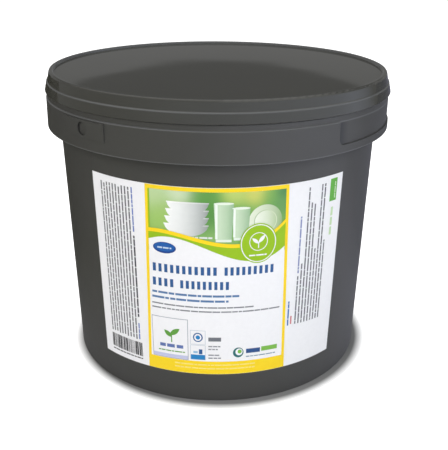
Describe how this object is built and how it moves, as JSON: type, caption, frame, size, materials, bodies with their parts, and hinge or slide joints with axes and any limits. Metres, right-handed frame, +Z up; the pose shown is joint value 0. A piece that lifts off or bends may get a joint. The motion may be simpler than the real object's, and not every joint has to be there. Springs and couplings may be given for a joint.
{
  "type": "dishwasher tablet tub",
  "caption": "Round tapered plastic tub with a flat lift-off lid, a wrapped label on its front and pressed dishwasher tablets lying inside.",
  "frame": {"origin": "centre of the foot ring's underside, on the surface that the tub stands on", "axes": "+Z up along the tub's axis, -Y out through the middle of the label, +X to the right of a viewer who faces the label"},
  "size_m": [0.2282, 0.2282, 0.1963],
  "materials": {
    "tub_plastic": "satin moulded plastic, dark grey",
    "lid_plastic": "slightly glossy moulded plastic, dark grey",
    "label_film": "smooth coated label, white with coloured print",
    "tablet_powder": "pressed powder, matt, off-white with a coloured layer"
  },
  "bodies": {
    "tub_body": {"tub": "tub_plastic", "label": "label_film", "tablet_layer_1": "tablet_powder", "tablet_layer_2": "tablet_powder", "tablet_layer_3": "tablet_powder", "tablet_layer_4": "tablet_powder", "tablet_layer_5": "tablet_powder", "tablet_layer_6": "tablet_powder", "tablet_layer_7": "tablet_powder", "tablet_layer_8": "tablet_powder"},
    "lid_body": {"lid": "lid_plastic"}
  },
  "joints": [
    {"name": "lid_lift", "type": "slide", "parent": "tub_body", "child": "lid_body", "axis": [0, 0, 1], "range_m": [0, 0.12]}
  ]
}
